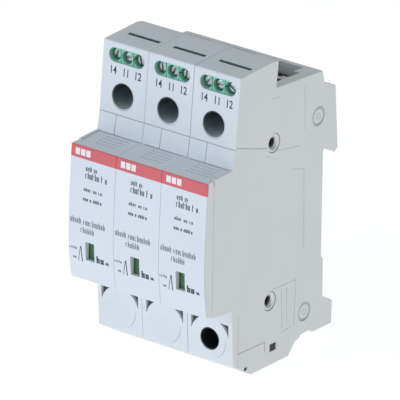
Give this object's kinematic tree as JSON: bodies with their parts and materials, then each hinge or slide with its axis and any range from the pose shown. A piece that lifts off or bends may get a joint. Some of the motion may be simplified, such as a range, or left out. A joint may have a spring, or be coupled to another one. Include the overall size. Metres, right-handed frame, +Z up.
{
  "type": "whole house surge protector",
  "caption": "Rail-mounted surge protector: plug-in cartridges with status windows in riveted bases, screw terminals above and below, signalling terminals in front.",
  "frame": {"origin": "on the plane of the rail's face, at mid-width and at the middle height of the nose", "axes": "+X to the right seen from the front, +Y back into the rail, +Z up"},
  "size_m": [0.054, 0.0673, 0.1024],
  "materials": {
    "base_plastic": "fine matt moulded plastic, light grey",
    "cartridge_plastic": "fine matt moulded plastic, light cool grey",
    "printed_front": "printed front, light cool grey with a red band",
    "terminal_green": "satin moulded terminal block",
    "flag_plastic": "satin, green over red",
    "contact_metal": "stamped, plain",
    "plated_steel": "zinc plated",
    "rivet_steel": "plated, satin",
    "varistor_coating": "dipped epoxy coating",
    "circuit_board": "bare board",
    "black_plastic": "satin moulded",
    "latch_plastic": "fine matt moulded plastic"
  },
  "bodies": {
    "base": {"base_housing_1": "base_plastic", "base_cover_1": "base_plastic", "line_contact_1": "contact_metal", "earth_contact_1": "contact_metal", "signal_terminal_1": "terminal_green", "signal_board_1": "circuit_board", "signal_switch_1": "black_plastic", "base_housing_2": "base_plastic", "base_cover_2": "base_plastic", "line_contact_2": "contact_metal", "earth_contact_2": "contact_metal", "signal_terminal_2": "terminal_green", "signal_board_2": "circuit_board", "signal_switch_2": "black_plastic", "base_housing_3": "base_plastic", "base_cover_3": "base_plastic", "line_contact_3": "contact_metal", "earth_contact_3": "contact_metal", "signal_terminal_3": "terminal_green", "signal_board_3": "circuit_board", "signal_switch_3": "black_plastic", "common_busbar": "contact_metal", "rivet_upper": "rivet_steel", "rivet_lower": "rivet_steel"},
    "cartridge_1": {"cartridge_shell_1": "cartridge_plastic", "cartridge_back_1": "cartridge_plastic", "cartridge_front_1": "printed_front", "varistor_1": "varistor_coating", "line_blade_1": "contact_metal", "earth_blade_1": "contact_metal"},
    "thermal_slider_1": {"thermal_slider_1": "flag_plastic"},
    "line_screw_1": {"line_screw_1": "plated_steel"},
    "line_clamp_1": {"line_clamp_1": "plated_steel"},
    "rail_latch_1": {"rail_latch_1": "latch_plastic"},
    "cartridge_2": {"cartridge_shell_2": "cartridge_plastic", "cartridge_back_2": "cartridge_plastic", "cartridge_front_2": "printed_front", "varistor_2": "varistor_coating", "line_blade_2": "contact_metal", "earth_blade_2": "contact_metal"},
    "thermal_slider_2": {"thermal_slider_2": "flag_plastic"},
    "line_screw_2": {"line_screw_2": "plated_steel"},
    "line_clamp_2": {"line_clamp_2": "plated_steel"},
    "rail_latch_2": {"rail_latch_2": "latch_plastic"},
    "cartridge_3": {"cartridge_shell_3": "cartridge_plastic", "cartridge_back_3": "cartridge_plastic", "cartridge_front_3": "printed_front", "varistor_3": "varistor_coating", "line_blade_3": "contact_metal", "earth_blade_3": "contact_metal"},
    "thermal_slider_3": {"thermal_slider_3": "flag_plastic"},
    "line_screw_3": {"line_screw_3": "plated_steel"},
    "line_clamp_3": {"line_clamp_3": "plated_steel"},
    "rail_latch_3": {"rail_latch_3": "latch_plastic"},
    "earth_screw": {"earth_screw": "plated_steel"},
    "earth_clamp": {"earth_clamp": "plated_steel"}
  },
  "joints": [
    {"name": "cartridge_plug_1", "type": "slide", "parent": "base", "child": "cartridge_1", "axis": [0, -1, 0], "range_m": [0, 0.045]},
    {"name": "thermal_slide_1", "type": "slide", "parent": "cartridge_1", "child": "thermal_slider_1", "axis": [0, 0, -1], "range_m": [0, 0.0062]},
    {"name": "line_screw_turn_1", "type": "hinge", "parent": "base", "child": "line_screw_1", "pos_m": [-0.018, -0.03, 0.0356], "axis": [0, 1, 0], "range_deg": [0, 2162]},
    {"name": "line_clamp_rise_1", "type": "slide", "parent": "base", "child": "line_clamp_1", "axis": [0, -1, 0], "range_m": [0, 0.0048]},
    {"name": "rail_latch_slide_1", "type": "slide", "parent": "base", "child": "rail_latch_1", "axis": [0, 0, -1], "range_m": [0, 0.004], "stiffness_N_per_m": 600, "springref_m": -0.001},
    {"name": "cartridge_plug_2", "type": "slide", "parent": "base", "child": "cartridge_2", "axis": [0, -1, 0], "range_m": [0, 0.045]},
    {"name": "thermal_slide_2", "type": "slide", "parent": "cartridge_2", "child": "thermal_slider_2", "axis": [0, 0, -1], "range_m": [0, 0.0062]},
    {"name": "line_screw_turn_2", "type": "hinge", "parent": "base", "child": "line_screw_2", "pos_m": [0, -0.03, 0.0356], "axis": [0, 1, 0], "range_deg": [0, 2162]},
    {"name": "line_clamp_rise_2", "type": "slide", "parent": "base", "child": "line_clamp_2", "axis": [0, -1, 0], "range_m": [0, 0.0048]},
    {"name": "rail_latch_slide_2", "type": "slide", "parent": "base", "child": "rail_latch_2", "axis": [0, 0, -1], "range_m": [0, 0.004], "stiffness_N_per_m": 600, "springref_m": -0.001},
    {"name": "cartridge_plug_3", "type": "slide", "parent": "base", "child": "cartridge_3", "axis": [0, -1, 0], "range_m": [0, 0.045]},
    {"name": "thermal_slide_3", "type": "slide", "parent": "cartridge_3", "child": "thermal_slider_3", "axis": [0, 0, -1], "range_m": [0, 0.0062]},
    {"name": "line_screw_turn_3", "type": "hinge", "parent": "base", "child": "line_screw_3", "pos_m": [0.018, -0.03, 0.0356], "axis": [0, 1, 0], "range_deg": [0, 2162]},
    {"name": "line_clamp_rise_3", "type": "slide", "parent": "base", "child": "line_clamp_3", "axis": [0, -1, 0], "range_m": [0, 0.0048]},
    {"name": "rail_latch_slide_3", "type": "slide", "parent": "base", "child": "rail_latch_3", "axis": [0, 0, -1], "range_m": [0, 0.004], "stiffness_N_per_m": 600, "springref_m": -0.001},
    {"name": "earth_screw_turn", "type": "hinge", "parent": "base", "child": "earth_screw", "pos_m": [0.018, -0.03, -0.0358], "axis": [0, 1, 0], "range_deg": [0, 2162]},
    {"name": "earth_clamp_rise", "type": "slide", "parent": "base", "child": "earth_clamp", "axis": [0, -1, 0], "range_m": [0, 0.0048]}
  ],
  "couplings": [
    {"joint": "line_screw_turn_1", "follows": "line_clamp_rise_1", "rad_per_m": 7854},
    {"joint": "line_screw_turn_2", "follows": "line_clamp_rise_2", "rad_per_m": 7854},
    {"joint": "line_screw_turn_3", "follows": "line_clamp_rise_3", "rad_per_m": 7854},
    {"joint": "earth_screw_turn", "follows": "earth_clamp_rise", "rad_per_m": 7854}
  ]
}
